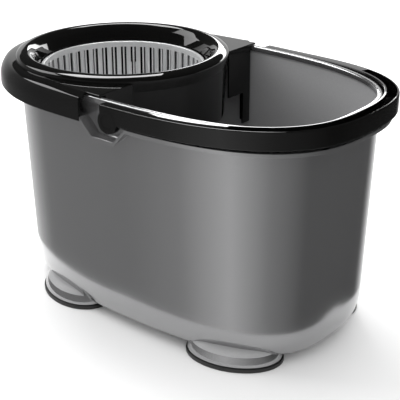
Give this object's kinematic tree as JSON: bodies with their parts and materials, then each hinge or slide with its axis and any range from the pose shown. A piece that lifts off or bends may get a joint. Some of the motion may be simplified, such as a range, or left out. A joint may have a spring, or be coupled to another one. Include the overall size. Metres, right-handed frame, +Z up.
{
  "type": "spin mop bucket",
  "caption": "Oval mop bucket with a bail handle and a lift-out wringer whose slotted basket spins on a central spindle.",
  "frame": {"origin": "on the floor under the middle of the whole object's box", "axes": "+Z up; +X along the bucket from the wringer towards the open basin; +Y to the rear side"},
  "size_m": [0.47, 0.2842, 0.276],
  "materials": {
    "bucket_grey": "metallic grey polypropylene, glossy outside",
    "gloss_black": "high gloss black moulding",
    "basket_silver": "silver-grey satin gloss moulding",
    "sole_rubber": "matt black rubber",
    "steel": "turned steel",
    "bush_plastic": "natural acetal"
  },
  "bodies": {
    "bucket": {"bucket_body": "bucket_grey", "foot_sole_front_right": "sole_rubber", "foot_sole_rear_right": "sole_rubber", "foot_sole_front_left": "sole_rubber", "foot_sole_rear_left": "sole_rubber", "pivot_pin_front": "gloss_black", "pivot_pin_rear": "gloss_black"},
    "handle": {"handle": "gloss_black"},
    "wringer": {"wringer_cover": "gloss_black", "wringer_drum": "gloss_black", "drum_screw_1": "steel", "drum_screw_2": "steel", "drum_screw_3": "steel", "drum_screw_4": "steel", "spindle": "steel", "spindle_lower_nut": "steel", "spindle_upper_nut": "steel", "thrust_washer": "steel", "retaining_washer": "steel"},
    "basket": {"basket": "basket_silver", "basket_hub_cap": "basket_silver", "lower_bush": "bush_plastic", "upper_bush": "bush_plastic"}
  },
  "joints": [
    {"name": "handle_swing", "type": "hinge", "parent": "bucket", "child": "handle", "pos_m": [0.01745, 0, 0.2485], "axis": [0, -1, 0], "range_deg": [0, 90]},
    {"name": "wringer_lift", "type": "slide", "parent": "bucket", "child": "wringer", "axis": [0, 0, 1], "range_m": [0, 0.13]},
    {"name": "basket_spin", "type": "hinge", "parent": "wringer", "child": "basket", "pos_m": [-0.09335, 0, 0.2], "axis": [0, 0, 1], "continuous": true}
  ]
}
